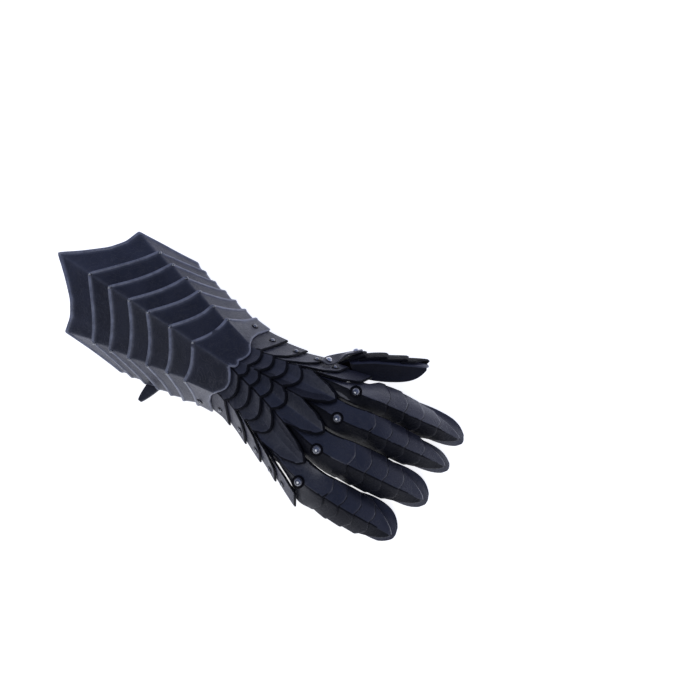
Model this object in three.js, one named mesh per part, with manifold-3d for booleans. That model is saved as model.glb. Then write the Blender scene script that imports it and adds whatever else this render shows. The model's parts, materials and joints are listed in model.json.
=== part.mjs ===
import * as THREE from 'three';
import Module from 'manifold-3d';
import { mergeVertices } from 'three/addons/utils/BufferGeometryUtils.js';

// A right-hand plate gauntlet of black leather, palm down. Millimetres, +Z up.
// The arm frame has X toward the fingers and Y toward the thumb. The whole
// arm is then rolled about X, so the thumb side is carried above the table.

const handReach = 153;     // wrist corner to the knuckle rivets
const knuckleSpan = 90;    // index rivet to little rivet
const wristRise = 57;      // wrist ridge over the arm's base plane
const leather = 2.2;       // thickness of every lame
const slip = 0.6;          // clearance between two stacked lames
const step = leather + slip;
const overlap = 0.35;      // share of a lame that lies under its neighbour
const edgeBevel = 1.3;     // width of the thinned edge
const edgeShare = 0.5;     // thickness left at a thinned edge
const beadRise = 0.9;      // raised border along the cuff edges
const beadStart = 0.9;
const beadEnd = 2.7;
const beadFade = 3.7;
const mouthSag = 14;       // hollow of each arc of the mouth
const lameSag = 4;         // hollow of the arcs of the other cuff lames
const hemSag = 3;
const valleyDepth = 4.5;   // dip between two knuckles
const valleyStart = 60;
const tuck = 1.1;          // knuckle plates lie this far under the hand lames
const formInset = 3;       // the lines below are measured on the outer faces
const mouthShift = 3;
const rollAngle = 15.9;    // degrees, thumb side up
const axisHeight = 16.2;   // base plane over the table on the centre line

// Lines of the form: run is a share of handReach, out of knuckleSpan and
// rise of wristRise.
const peakLine = [
  { run: -1.128, out: 0.000, rise: 1.244 },
  { run: -0.824, out: 0.000, rise: 1.228 },
  { run: -0.652, out: 0.000, rise: 1.205 },
  { run: -0.495, out: 0.000, rise: 1.161 },
  { run: -0.351, out: 0.000, rise: 1.107 },
  { run: -0.182, out: 0.000, rise: 1.044 },
  { run: 0.000, out: 0.000, rise: 1.004 },
  { run: 0.301, out: 0.000, rise: 0.982 },
  { run: 0.569, out: -0.078, rise: 0.956 },
  { run: 0.765, out: -0.156, rise: 0.939 },
  { run: 1.003, out: -0.191, rise: 0.930 },
  { run: 1.176, out: -0.189, rise: 0.877 },
];
const nearRidge = [
  { run: -0.841, out: -0.676, rise: 0.886 },
  { run: -0.618, out: -0.593, rise: 0.860 },
  { run: -0.341, out: -0.509, rise: 0.851 },
  { run: -0.067, out: -0.410, rise: 0.833 },
  { run: 0.065, out: -0.368, rise: 0.821 },
  { run: 0.307, out: -0.294, rise: 0.807 },
  { run: 0.484, out: -0.333, rise: 0.807 },
  { run: 0.693, out: -0.427, rise: 0.807 },
  { run: 0.861, out: -0.512, rise: 0.807 },
  { run: 0.984, out: -0.538, rise: 0.807 },
  { run: 1.176, out: -0.538, rise: 0.737 },
];
const farRidge = [
  { run: -0.841, out: 0.676, rise: 0.886 },
  { run: -0.618, out: 0.593, rise: 0.860 },
  { run: -0.341, out: 0.509, rise: 0.851 },
  { run: -0.067, out: 0.410, rise: 0.833 },
  { run: 0.065, out: 0.368, rise: 0.821 },
  { run: 0.307, out: 0.278, rise: 0.798 },
  { run: 0.484, out: 0.322, rise: 0.807 },
  { run: 0.647, out: 0.383, rise: 0.807 },
  { run: 0.725, out: 0.406, rise: 0.807 },
  { run: 0.996, out: 0.458, rise: 0.772 },
  { run: 1.176, out: 0.489, rise: 0.684 },
];
const middleRidge = [
  { run: 0.065, out: 0.183, rise: 0.911 },
  { run: 0.301, out: 0.089, rise: 0.935 },
  { run: 0.477, out: 0.122, rise: 0.930 },
  { run: 0.641, out: 0.128, rise: 0.923 },
  { run: 0.771, out: 0.133, rise: 0.912 },
  { run: 1.006, out: 0.153, rise: 0.895 },
  { run: 1.176, out: 0.172, rise: 0.825 },
];
const nearHem = [
  { run: -0.542, out: -0.789, rise: 0.104 },
  { run: -0.320, out: -0.728, rise: 0.095 },
  { run: -0.111, out: -0.667, rise: 0.075 },
  { run: -0.013, out: -0.633, rise: 0.074 },
  { run: 0.131, out: -0.561, rise: 0.088 },
  { run: 0.288, out: -0.539, rise: 0.088 },
  { run: 0.458, out: -0.589, rise: 0.096 },
  { run: 0.621, out: -0.661, rise: 0.105 },
  { run: 0.771, out: -0.717, rise: 0.123 },
  { run: 0.876, out: -0.772, rise: 0.140 },
  { run: 1.031, out: -0.828, rise: 0.211 },
];
const farHem = [
  { run: -0.542, out: 0.772, rise: 0.123 },
  { run: -0.431, out: 0.722, rise: 0.123 },
  { run: -0.320, out: 0.678, rise: 0.123 },
  { run: -0.111, out: 0.617, rise: 0.105 },
  { run: -0.013, out: 0.589, rise: 0.105 },
  { run: 0.163, out: 0.556, rise: 0.105 },
  { run: 0.327, out: 0.544, rise: 0.140 },
  { run: 0.510, out: 0.556, rise: 0.158 },
  { run: 0.654, out: 0.600, rise: 0.158 },
  { run: 0.784, out: 0.644, rise: 0.140 },
  { run: 0.980, out: 0.700, rise: 0.105 },
];

// Free edges along the arm, shares of handReach.
const cuffEdges = [
  { hem: -0.542, ridge: -0.841, peak: -1.128 },
  { hem: -0.431, ridge: -0.618, peak: -0.824 },
  { hem: -0.320, ridge: -0.483, peak: -0.652 },
  { hem: -0.216, ridge: -0.341, peak: -0.495 },
  { hem: -0.111, ridge: -0.207, peak: -0.351 },
  { hem: -0.013, ridge: -0.067, peak: -0.182 },
  { hem: 0.092, ridge: 0.065, peak: 0.000 },
];
const handEdges = [
  {
    nearHem: 0.216, little: 0.288, leafA: 0.346, ring: 0.301, leafB: 0.333,
    middle: 0.320, leafC: 0.340, index: 0.301, farHem: 0.235,
  },
  {
    nearHem: 0.373, little: 0.373, leafA: 0.418, ring: 0.386, leafB: 0.412,
    middle: 0.392, leafC: 0.418, index: 0.386, farHem: 0.392,
  },
  {
    nearHem: 0.536, little: 0.458, leafA: 0.510, ring: 0.477, leafB: 0.497,
    middle: 0.464, leafC: 0.503, index: 0.471, farHem: 0.549,
  },
  {
    nearHem: 0.686, little: 0.542, leafA: 0.608, ring: 0.569, leafB: 0.595,
    middle: 0.549, leafC: 0.595, index: 0.556, farHem: 0.693,
  },
  {
    nearHem: 0.837, little: 0.621, leafA: 0.712, ring: 0.660, leafB: 0.706,
    middle: 0.641, leafC: 0.699, index: 0.641, farHem: 0.837,
  },
  {
    nearHem: 1.026, little: 0.693, leafA: 0.980, ring: 0.765, leafB: 0.980,
    middle: 0.771, leafC: 0.935, index: 0.725, farHem: 0.993,
  },
];

const handColumns = ['nearHem', 'little', 'leafA', 'ring', 'leafB', 'middle', 'leafC', 'index', 'farHem'];

// Digits: ridge is the hand column the digit grows from, tip shares are of
// handReach and knuckleSpan, outer marks the side that has no neighbour, and
// outerCover is the share of the hand's side facet that its plate covers.
const fingers = [
  {
    name: 'little', ridge: 1, tipRun: 1.590, tipOut: -0.515,
    girth: 1, outer: -1, outerCover: 0.85, outerShare: 1.08, reach: 1.1, flare: 1.45,
  },
  {
    name: 'ring', ridge: 3, tipRun: 1.652, tipOut: -0.070,
    girth: 1, outer: 0, outerCover: 0, outerShare: 1, reach: 1.26, flare: 1.45,
  },
  {
    name: 'middle', ridge: 5, tipRun: 1.666, tipOut: 0.335,
    girth: 0.87, outer: 0, outerCover: 0, outerShare: 1, reach: 1.22, flare: 1.2,
  },
  {
    name: 'index', ridge: 7, tipRun: 1.662, tipOut: 0.660,
    girth: 0.85, outer: 1, outerCover: 0.7, outerShare: 1.45, reach: 1, flare: 1.6,
  },
];
const fingerHalf = 12.6;   // half width of a finger lame
const fingerBase = 1.18;   // width at the knuckle, share of fingerHalf
const fingerSwell = 1.24;  // fuller towards the middle of the finger
const fingerTaper = 1.16;  // tip width, share of fingerHalf
const sideLean = 0.2;      // share of the section's slope that offsets follow
const fingerDrop = 13;     // side edges under the ridge
const reachTip = 1.06;     // a finger's reach shrinks to this at its tip
const farStart = 0.3;      // depth of the thumb side at the knuckle, share of fingerDrop
const outerStart = 1.6;    // and of an outer side
const tipDrop = 0.35;      // depth left at the tip, share of fingerDrop
const nearDrop = 1.5;      // the side toward the little finger hangs deeper
const flange = 11;         // turned-down edge between two knuckle plates
const farCover = 1.1;      // facets of the hand that a knuckle plate covers
const nearCover = 1;
const plateTuck = 8;       // knuckle plate hidden under the hand lame
const plateSink = -0.25;   // level of a plate's hidden end, share of a lame step
const blendStart = -2;     // from the hand's form to the finger's, past the rivets
const blendLength = 25;
const firstFall = 0.35;    // slope of the finger at the knuckle, share of its mean
const tipHeight = 6.5;     // finger ridge over the table at its tip
const plateEdge = 0.26;    // knuckle plate's free edge, share of the finger's length
const lameStep = 0.152;    // finger lame spacing, share of the finger's length
const lamesPerFinger = 4;
const notchLobe = 4;       // lobe each side of the ridge notch
const spearTip = 8;        // point of the last lame
const tongueStart = 0.42;
const tongueEnd = 1.03;
const tongueShare = 0.93;
const tongueTip = 0.32;    // blunt end of a tongue
const tongueRows = [0, 0.25, 0.5, 0.7, 0.84, 0.94, 1];
const flareStart = 1.1;    // the tongue's far side turns out past this share
const tongueFlare = 0.4;   // slope of that strip

// Thumb ridge on the table frame: along, across and height are shares of
// thumbReach. The thumb lies on its side, its back turned away from the palm.
const thumbReach = 108;
const thumbPath = [
  { along: 0.963, across: 0.450, height: 0.232 },
  { along: 1.055, across: 0.575, height: 0.258 },
  { along: 1.196, across: 0.735, height: 0.264 },
  { along: 1.409, across: 0.870, height: 0.232 },
  { along: 1.610, across: 0.985, height: 0.200 },
  { along: 1.716, across: 1.045, height: 0.165 },
];
const thumbRoll = 105;     // degrees from upright
const thumbHalf = 14.5;
const thumbDrop = 19;      // thumb section's side edges inside its ridge
const thumbBase = 0.55;    // size of the section at the hand
const thumbTip = 0.72;     // size of the section at the tip
const thumbPlateEdge = 0.36;
const thumbStep = 0.2;
const thumbLames = 3;
const thumbTongueStart = 0.22;

const seatGap = 0.3;
const knuckleSeat = 4.7;   // plate top under a knuckle rivet
const rivetRadius = 3.7;
const rivetHeight = 2.6;
const linkRivetRadius = 3.2;
const linkRivetHeight = 2;
const linkThick = 2;
const linkHalf = 6;
const linkColumn = 7.72;   // where the thumb's link is riveted on the hand
const linkAt = 110;
const linkEnd = 0.3;       // and its end, a share of the thumb's length
const linkSide = -0.6;
const linkTip = 0.6;       // width of its rounded ends
const hemColumn = 7.98;    // just inside the hand's far hem
const linkArch = 2.5;      // rise where the link crosses the thumb's edge
const strapThick = 2.4;
const strapHalf = 9;
const cuffStrapAt = -40.5;
const palmStrapAt = 121;
const buckleAcross = -12;
const buckleHalf = 11;
const buckleBar = 3;
const buckleThick = 2.6;

// Strap lines: out is a share of knuckleSpan and rise of wristRise.
const cuffStrapLine = [
  { out: 0.422, rise: 0.825 },
  { out: 0.478, rise: 0.675 },
  { out: 0.494, rise: 0.491 },
  { out: 0.456, rise: 0.281 },
  { out: 0.367, rise: 0.114 },
  { out: 0.244, rise: 0 },
  { out: 0, rise: 0 },
  { out: -0.333, rise: 0 },
  { out: -0.689, rise: 0 },
  { out: -0.867, rise: 0 },
  { out: -0.922, rise: 0 },
];
const cuffStrapPoint = [0.22, 0.5]; // widths at the pointed end, shares of strapHalf
const palmStrapLine = [
  { out: -0.552, rise: 0.333 },
  { out: -0.572, rise: 0.123 },
  { out: -0.444, rise: -0.018 },
  { out: -0.222, rise: -0.105 },
  { out: 0, rise: -0.158 },
  { out: 0.222, rise: -0.167 },
  { out: 0.411, rise: -0.088 },
  { out: 0.522, rise: 0.070 },
  { out: 0.520, rise: 0.298 },
];

const lerp = (a, b, t) => a + (b - a) * t;
const clamp = (v, lo, hi) => Math.min(hi, Math.max(lo, v));
const ease = (v) => { const t = clamp(v, 0, 1); return t * t * (3 - 2 * t); };
const rollCos = Math.cos(THREE.MathUtils.degToRad(rollAngle));
const rollSin = Math.sin(THREE.MathUtils.degToRad(rollAngle));

function toTable(p) {
  return new THREE.Vector3(
    p.x,
    p.y * rollCos - p.z * rollSin,
    p.y * rollSin + p.z * rollCos + axisHeight,
  );
}

function toArm(p) {
  const z = p.z - axisHeight;
  return new THREE.Vector3(p.x, p.y * rollCos + z * rollSin, z * rollCos - p.y * rollSin);
}

function onLine(line, x) {
  let i = 0;
  while (i < line.length - 2 && x > line[i + 1].run * handReach) i += 1;
  const a = line[i];
  const b = line[i + 1];
  const t = (x / handReach - a.run) / (b.run - a.run);
  return { y: lerp(a.out, b.out, t) * knuckleSpan, z: lerp(a.rise, b.rise, t) * wristRise };
}

function between(a, b, t, dip = 0) {
  return { y: lerp(a.y, b.y, t), z: lerp(a.z, b.z, t) - dip };
}

function onColumn(column, x) {
  const dip = valleyDepth * ease((x - valleyStart) / (handReach - valleyStart));
  if (column === 0) return onLine(nearHem, x);
  if (column === 1) return onLine(nearRidge, x);
  if (column === 2) return between(onColumn(1, x), onColumn(3, x), 0.5, dip);
  if (column === 3) return onLine(peakLine, x);
  if (column === 4) return between(onColumn(3, x), onColumn(5, x), 0.5, dip);
  if (column === 5) {
    const inFacet = x < middleRidge[0].run * handReach;
    return inFacet ? between(onColumn(3, x), onColumn(7, x), 0.5) : onLine(middleRidge, x);
  }
  if (column === 6) return between(onColumn(5, x), onColumn(7, x), 0.5, dip);
  if (column === 7) return onLine(farRidge, x);
  return onLine(farHem, x);
}

function section(c, x) {
  const i = Math.min(7, Math.floor(clamp(c, 0, 8)));
  return between(onColumn(i, x), onColumn(i + 1, x), c - i);
}

function outward(c, x) {
  const reach = 0.02;
  const here = section(c, x);
  const before = section(c - reach, x);
  const after = section(c + reach, x);
  const one = new THREE.Vector2(before.z - here.z, here.y - before.y).normalize();
  const two = new THREE.Vector2(here.z - after.z, after.y - here.y).normalize();
  const sum = one.clone().add(two);
  return sum.divideScalar(1 + one.dot(two));
}

function armPoint(c, x, rise) {
  const s = section(c, x);
  const n = outward(c, x);
  const lift = rise - formInset;
  return new THREE.Vector3(x, s.y + n.x * lift, s.z + n.y * lift);
}

const arc = (w) => 4 * w * (1 - w);

function cuffRun(c, k) {
  const e = cuffEdges[k];
  const sag = k === 0 ? mouthSag : lameSag;
  const shift = k === 0 ? mouthShift : 0;
  const m = Math.min(c, 8 - c);
  const middle = c > 3 ? (7 - c) / 4 : (c - 1) / 2;
  if (c < 1 || c > 7) return lerp(e.hem, e.ridge, m) * handReach + hemSag * arc(m) + shift;
  return lerp(e.ridge, e.peak, middle) * handReach + sag * arc(middle) + shift;
}

// Rounded leaf between two ridges, and the squarer flap beside the hem.
const leafRound = { share: 0.85, power: 2.4 };
const flapPower = 4;
const lobe = (w) => lerp(w, 1 - (1 - w) ** leafRound.power, leafRound.share);
const flap = (w) => 1 - (1 - w) ** flapPower;

function handRun(c, k) {
  const e = handEdges[k];
  const i = Math.min(7, Math.floor(c));
  const w = c - i;
  const a = e[handColumns[i]];
  const b = e[handColumns[i + 1]];
  if (i === 0) return (b + (a - b) * flap(1 - w)) * handReach;
  if (i === 7) return (a + (b - a) * flap(w)) * handReach;
  return (i % 2 ? a + (b - a) * lobe(w) : b + (a - b) * lobe(1 - w)) * handReach;
}

const lastCuff = cuffEdges.length - 1;
const firstHand = lastCuff + 1;
const lastHand = firstHand + handEdges.length - 1;

function edgeRun(c, u) {
  const k = clamp(Math.floor(u), 0, lastHand - 1);
  const runOf = (n) => (n <= lastCuff ? cuffRun(c, n) : handRun(c, n - firstHand));
  return lerp(runOf(k), runOf(k + 1), u - k);
}

function spread(from, to, count) {
  return Array.from({ length: count + 1 }, (_, i) => lerp(from, to, i / count));
}

function closedGrid(low, high) {
  const rows = low.length;
  const cols = low[0].length;
  const points = [...low.flat(), ...high.flat()];
  const index = [];
  const lower = (i, j) => i * cols + j;
  const upper = (i, j) => rows * cols + i * cols + j;
  const quad = (a, b, c, d) => index.push(a, b, c, a, c, d);
  for (let i = 0; i < rows - 1; i += 1) {
    for (let j = 0; j < cols - 1; j += 1) {
      quad(upper(i, j), upper(i + 1, j), upper(i + 1, j + 1), upper(i, j + 1));
      quad(lower(i, j), lower(i, j + 1), lower(i + 1, j + 1), lower(i + 1, j));
    }
    quad(lower(i, 0), lower(i + 1, 0), upper(i + 1, 0), upper(i, 0));
    quad(lower(i + 1, cols - 1), lower(i, cols - 1), upper(i, cols - 1), upper(i + 1, cols - 1));
  }
  for (let j = 0; j < cols - 1; j += 1) {
    quad(lower(0, j + 1), lower(0, j), upper(0, j), upper(0, j + 1));
    quad(lower(rows - 1, j), lower(rows - 1, j + 1), upper(rows - 1, j + 1), upper(rows - 1, j));
  }
  const geometry = new THREE.BufferGeometry();
  const flat = points.flatMap((p) => [p.x, p.y, p.z]);
  geometry.setAttribute('position', new THREE.Float32BufferAttribute(flat, 3));
  geometry.setIndex(index);
  return geometry;
}

function signedVolume(geometry) {
  const p = geometry.attributes.position;
  const ix = geometry.index;
  const v = [0, 1, 2].map(() => new THREE.Vector3());
  let total = 0;
  for (let i = 0; i < ix.count; i += 3) {
    v.forEach((q, n) => q.fromBufferAttribute(p, ix.getX(i + n)));
    total += v[0].dot(v[1].clone().cross(v[2])) / 6;
  }
  return total;
}

const group = new THREE.Group();
const looks = {
  lame: { color: 0x24252c, roughness: 0.55, metalness: 0 },
  tongue: { color: 0x1a1b24, roughness: 0.6, metalness: 0 },
  strap: { color: 0x1d1d20, roughness: 0.65, metalness: 0 },
  steel: { color: 0x8d9198, roughness: 0.3, metalness: 1 },
  gunmetal: { color: 0x3a3c42, roughness: 0.35, metalness: 1 },
};

function addNode(name, look, geometry) {
  geometry.deleteAttribute('normal');
  geometry.deleteAttribute('uv');
  const welded = mergeVertices(geometry, 1e-4);
  if (signedVolume(welded) < 0) {
    const ix = welded.index;
    for (let i = 0; i < ix.count; i += 3) {
      const keep = ix.getX(i);
      ix.setX(i, ix.getX(i + 1));
      ix.setX(i + 1, keep);
    }
  }
  const mesh = new THREE.Mesh(welded, new THREE.MeshStandardMaterial(looks[look]));
  mesh.name = name;
  group.add(mesh);
}

// Leather that would sink into the table lies flat on it instead.
function settled(p, level) {
  return new THREE.Vector3(p.x, p.y, Math.max(p.z, level));
}

// rows holds functions of the column that give { point, lift, thick }, where
// point(lift) is a place on the table frame.
function shell(name, look, columns, rows) {
  const low = [];
  const high = [];
  for (const row of rows) {
    const made = columns.map(row);
    low.push(made.map((m) => settled(m.point(m.lift), 0)));
    high.push(made.map((m) => settled(m.point(m.lift + m.thick), m.thick)));
  }
  addNode(name, look, closedGrid(low, high));
}

const cuffColumns = [
  ...spread(0, 1, 4), ...spread(1, 3, 4).slice(1), ...spread(3, 7, 4).slice(1),
  ...spread(7, 8, 4).slice(1),
];
const flapColumns = [0, 0.5, 0.78, 0.91]; // closer where the flap's edge turns
const handSamples = [
  ...flapColumns, ...spread(1, 7, 18), ...flapColumns.map((c) => 8 - c).reverse(),
];

function armRow(u, liftOf, thick, shift = 0) {
  return (c) => {
    const base = edgeRun(c, u);
    const pitch = shift < 0 ? base - edgeRun(c, u - 1) : edgeRun(c, u + 1) - base;
    const at = shift ? u + shift / pitch : u;
    return {
      point: (lift) => toTable(armPoint(c, base + shift, lift)),
      lift: liftOf(at),
      thick,
    };
  };
}

function beadRows(k, liftOf) {
  return [
    armRow(k, liftOf, leather * edgeShare),
    armRow(k, liftOf, leather + beadRise, beadStart),
    armRow(k, liftOf, leather + beadRise, beadEnd),
    armRow(k, liftOf, leather, beadFade),
  ];
}

for (let k = 0; k < lastCuff; k += 1) {
  const liftOf = (u) => step * (k + 1 - u);
  const rows = [
    ...beadRows(k, liftOf),
    armRow(k + 1, liftOf, leather),
    armRow(k + 1 + overlap, liftOf, leather),
  ];
  shell(k === 0 ? 'mouth_lame' : `cuff_lame_${k}`, 'lame', cuffColumns, rows);
}

const wristLift = () => step;
shell('wrist_lame', 'lame', handSamples, [
  ...beadRows(lastCuff, wristLift),
  armRow(lastCuff + 0.5, wristLift, leather),
  armRow(firstHand, wristLift, leather, -edgeBevel),
  armRow(firstHand, wristLift, leather * edgeShare),
]);

for (let j = 1; j < handEdges.length; j += 1) {
  const free = firstHand + j;
  const liftOf = (u) => step * (u - free + 1);
  shell(`hand_lame_${j}`, 'lame', handSamples, [
    armRow(free - 1 - overlap, liftOf, leather),
    armRow(free - 1, liftOf, leather),
    armRow(free - 0.5, liftOf, leather),
    armRow(free, liftOf, leather, -edgeBevel),
    armRow(free, liftOf, leather * edgeShare),
  ]);
}

// Digits: a ridge path with a frame, and a gable section that hangs from it.
const armUp = new THREE.Vector3(0, -rollSin, rollCos);

function digitFrame(path, s) {
  const reach = 0.01;
  const p = path(s);
  const along = path(s + reach).sub(path(s - reach)).normalize();
  const side = (path.up ?? armUp).clone().cross(along).normalize();
  return { p, along, side, up: along.clone().cross(side).normalize() };
}

// A ridged section: flat beside the ridge, steeper at its side edges, and past
// them it flares out.
const roofShare = 0.6;
const sideCurve = 1 - roofShare;

function gable(c) {
  const m = Math.min(Math.abs(c), flareStart);
  return roofShare * m + sideCurve * m ** 3 + tongueFlare * (Math.abs(c) - m);
}

function digitPoint(path, s, c, half, drop, lift) {
  const f = digitFrame(path, s);
  const steep = drop * (roofShare + 3 * sideCurve * c * c);
  const slope = sideLean * Math.atan2(steep, half) * clamp(c * 4, -1, 1);
  return f.p.clone()
    .addScaledVector(f.side, c * half + Math.sin(slope) * lift)
    .addScaledVector(f.up, -drop * gable(c) + Math.cos(slope) * lift);
}

function fingerPath(finger) {
  const root = onColumn(finger.ridge, handReach);
  const tipY = finger.tipOut * knuckleSpan;
  const tipZ = (tipHeight - axisHeight - tipY * rollSin) / rollCos;
  return (s) => {
    const fall = s < 0 ? firstFall * s : lerp(s * s, s, firstFall);
    return toTable(new THREE.Vector3(
      lerp(handReach, finger.tipRun * handReach, s),
      lerp(root.y, tipY, s),
      lerp(root.z - tuck, tipZ, fall),
    ));
  };
}

// Where along a digit, 0 at the hand and 1 at the tip, each change happens.
const stages = {
  swell: { from: 0, to: 0.5 },
  taper: { from: 0.5, to: 1 },
  deepen: { from: 0.15, to: 0.55 },
  flatten: { from: 0.7, to: 1 },
  outer: { from: 0.25, to: 0.85 },
  reach: { from: 0.45, to: 0.9 },
  flare: { from: 0.42, to: 0.82 },
  flange: { from: 0.7, to: 1 },
  thumbSwell: { from: 0.1, to: 0.45 },
  thumbTaper: { from: 0.65, to: 1 },
  tongueEnd: { from: 0.86, to: 1.036 },
  thumbTongueEnd: { from: 0.84, to: 1.01 },
};
const stage = (s, part) => ease((s - part.from) / (part.to - part.from));

// The little finger's outer side starts narrower, the index finger's wider.
function sideShare(finger, s, c) {
  if (c * finger.outer <= 0) return 1;
  return lerp(finger.outerShare, 1, stage(s, stages.outer));
}

// A side toward the thumb that has a neighbour reaches under its near side.
function reachShare(finger, s, c) {
  if (c <= 0 || finger.outer > 0) return sideShare(finger, s, c);
  return lerp(finger.reach, reachTip, stage(s, stages.reach));
}

const halfAt = (finger, s) => finger.girth * fingerHalf
  * lerp(lerp(fingerBase, fingerSwell, stage(s, stages.swell)), fingerTaper, stage(s, stages.taper));

// Depth of the side edges: the far side starts shallow, the near side deep.
function dropAt(finger, s, c) {
  const full = c < 0 && finger.outer >= 0 ? nearDrop : 1;
  const inner = c < 0 ? full : farStart;
  const start = c * finger.outer > 0 ? outerStart : inner;
  return fingerDrop * lerp(lerp(start, full, stage(s, stages.deepen)), tipDrop, stage(s, stages.flatten));
}

const fingerColumns = spread(-1, 1, 8);
const plateShares = [0, 0.3, 0.6, 0.82];

function handColumnOf(finger, c) {
  if (Math.sign(c) === finger.outer) return finger.ridge + c * finger.outerCover;
  return finger.ridge + c * (c > 0 ? farCover : nearCover);
}

// Knuckle plates start on the hand's form and end on the finger's own form.
function knucklePoint(finger, path, c, x, lift) {
  const column = handColumnOf(finger, c);
  const onHand = toTable(armPoint(column, x, lift - tuck));
  if (finger.outer >= 0) onHand.addScaledVector(armUp, -flange * stage(-c, stages.flange));
  const s = (x - handReach) / (finger.tipRun * handReach - handReach);
  const side = sideShare(finger, s, c);
  const half = halfAt(finger, s) * reachShare(finger, s, c);
  const own = digitPoint(path, s, c, half, dropAt(finger, s, c) * side, lift);
  return onHand.lerp(own, ease((x - handReach - blendStart) / blendLength));
}

// Rounded end of a tongue: 1 along its length, closing at the tip.
function roundedEnd(s, part) {
  const past = Math.max(0, s - part.from) / (part.to - part.from);
  return Math.sqrt(Math.max(0, 1 - past * past));
}

const tongueLift = -step * overlap - slip - leather;

// Free edges have a lobe on each side of the ridge notch and fall back beyond
// it. The last lame ends in a point.
const lobeTop = 0.5;
const lobeFall = 1.6;
const spearSide = 1.6;

function lobed(c) {
  const m = Math.abs(c);
  return Math.sin(Math.min(1, m / lobeTop) * Math.PI / 2) - lobeFall * Math.max(0, m - lobeTop);
}

const spear = (c) => spearTip * (1 - (1 + spearSide) * Math.abs(c) ** spearSide);

for (const finger of fingers) {
  const path = fingerPath(finger);
  const reach = finger.tipRun * handReach - handReach;
  const sOf = (mm) => mm / reach;
  const xOf = (s) => handReach + s * reach;
  const plateFree = (c) => xOf(plateEdge) + notchLobe * lobed(c);
  const plateBack = (c) => edgeRun(handColumnOf(finger, c), lastHand) - plateTuck;
  const plateRow = (share, shift, thick) => (c) => ({
    point: (lift) => knucklePoint(finger, path, c, lerp(plateBack(c), plateFree(c), share) + shift, lift),
    lift: step * lerp(plateSink, 1, share),
    thick,
  });
  shell(`knuckle_${finger.name}`, 'lame', fingerColumns, [
    ...plateShares.map((share) => plateRow(share, 0, leather)),
    plateRow(1, -edgeBevel, leather),
    plateRow(1, 0, leather * edgeShare),
  ]);
  for (let i = 1; i <= lamesPerFinger; i += 1) {
    const last = i === lamesPerFinger;
    const free = plateEdge + i * lameStep;
    const edge = (c) => free + sOf(last ? spear(c) : notchLobe * lobed(c));
    const back = (c) => free - lameStep * (1 + overlap) + sOf(notchLobe * lobed(c));
    const row = (share, shift, thick) => (c) => {
      const s = lerp(back(c), edge(c), share) + sOf(shift);
      const q = (s - sOf(notchLobe * lobed(c)) - plateEdge) / lameStep;
      return {
        point: (lift) => digitPoint(
          path, s, c, halfAt(finger, s) * reachShare(finger, s, c),
          dropAt(finger, s, c) * sideShare(finger, s, c), lift,
        ),
        lift: step * Math.min(1, q - i + 1),
        thick,
      };
    };
    shell(`${finger.name}_lame_${i}`, 'lame', fingerColumns, [
      row(0, 0, leather),
      row(0.5, 0, leather),
      row(1, -edgeBevel, leather),
      row(1, 0, leather * edgeShare),
    ]);
  }
  shell(`tongue_${finger.name}`, 'tongue', fingerColumns, tongueRows.map((share) => (c) => {
    const s = lerp(tongueStart, tongueEnd, share);
    const close = Math.max(tongueTip, roundedEnd(s, stages.tongueEnd));
    const size = tongueShare * close * sideShare(finger, s, c);
    const half = halfAt(finger, s) * size;
    const far = c > 0 ? lerp(1, finger.flare, stage(s, stages.flare)) : 1;
    const drop = dropAt(finger, s, c) * size;
    return {
      point: (lift) => digitPoint(path, s, c * far, half, drop, lift),
      lift: tongueLift,
      thick: leather,
    };
  }));
}

const domeProfile = [
  { out: 0, rise: 0 },
  { out: 1, rise: 0 },
  { out: 1, rise: 0.3 },
  { out: 0.78, rise: 0.74 },
  { out: 0.4, rise: 0.96 },
  { out: 0, rise: 1 },
];

function dome(at, up, radius, height) {
  const profile = domeProfile.map((p) => new THREE.Vector2(p.out * radius, p.rise * height));
  const geometry = new THREE.LatheGeometry(profile, 10);
  geometry.rotateX(Math.PI / 2);
  geometry.applyQuaternion(new THREE.Quaternion().setFromUnitVectors(new THREE.Vector3(0, 0, 1), up));
  geometry.translate(at.x, at.y, at.z);
  return geometry;
}

for (const finger of fingers) {
  const path = fingerPath(finger);
  const seat = knucklePoint(finger, path, 0, handReach, knuckleSeat);
  addNode(`rivet_${finger.name}`, 'gunmetal', dome(seat, digitFrame(path, 0).up, rivetRadius, rivetHeight));
}

// Thumb: a base under the hand's far hem, three lames and a tongue.
const thumbCurve = new THREE.CatmullRomCurve3(thumbPath.map(
  (p) => new THREE.Vector3(p.along, p.across, p.height).multiplyScalar(thumbReach),
));
const thumbLength = thumbCurve.getLength();

function thumbAt(s) {
  const t = clamp(s, 0, 1);
  return thumbCurve.getPointAt(t).addScaledVector(thumbCurve.getTangentAt(t), (s - t) * thumbLength);
}
const thumbHeading = thumbAt(1).sub(thumbAt(0)).setZ(0).normalize();
thumbAt.up = new THREE.Vector3(-thumbHeading.y, thumbHeading.x, 0)
  .multiplyScalar(Math.sin(THREE.MathUtils.degToRad(thumbRoll)))
  .setZ(Math.cos(THREE.MathUtils.degToRad(thumbRoll)));

const thumbSize = (s) => lerp(
  lerp(thumbBase, 1, stage(s, stages.thumbSwell)), thumbTip, stage(s, stages.thumbTaper),
);

function thumbRow(sOf, lift, thick, share = () => 1) {
  return (c) => {
    const s = sOf(c);
    const size = thumbSize(s) * share(s);
    return {
      point: (rise) => digitPoint(thumbAt, s, c, thumbHalf * size, thumbDrop * size, rise),
      lift: typeof lift === 'number' ? lift : lift(s, c),
      thick,
    };
  };
}

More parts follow.
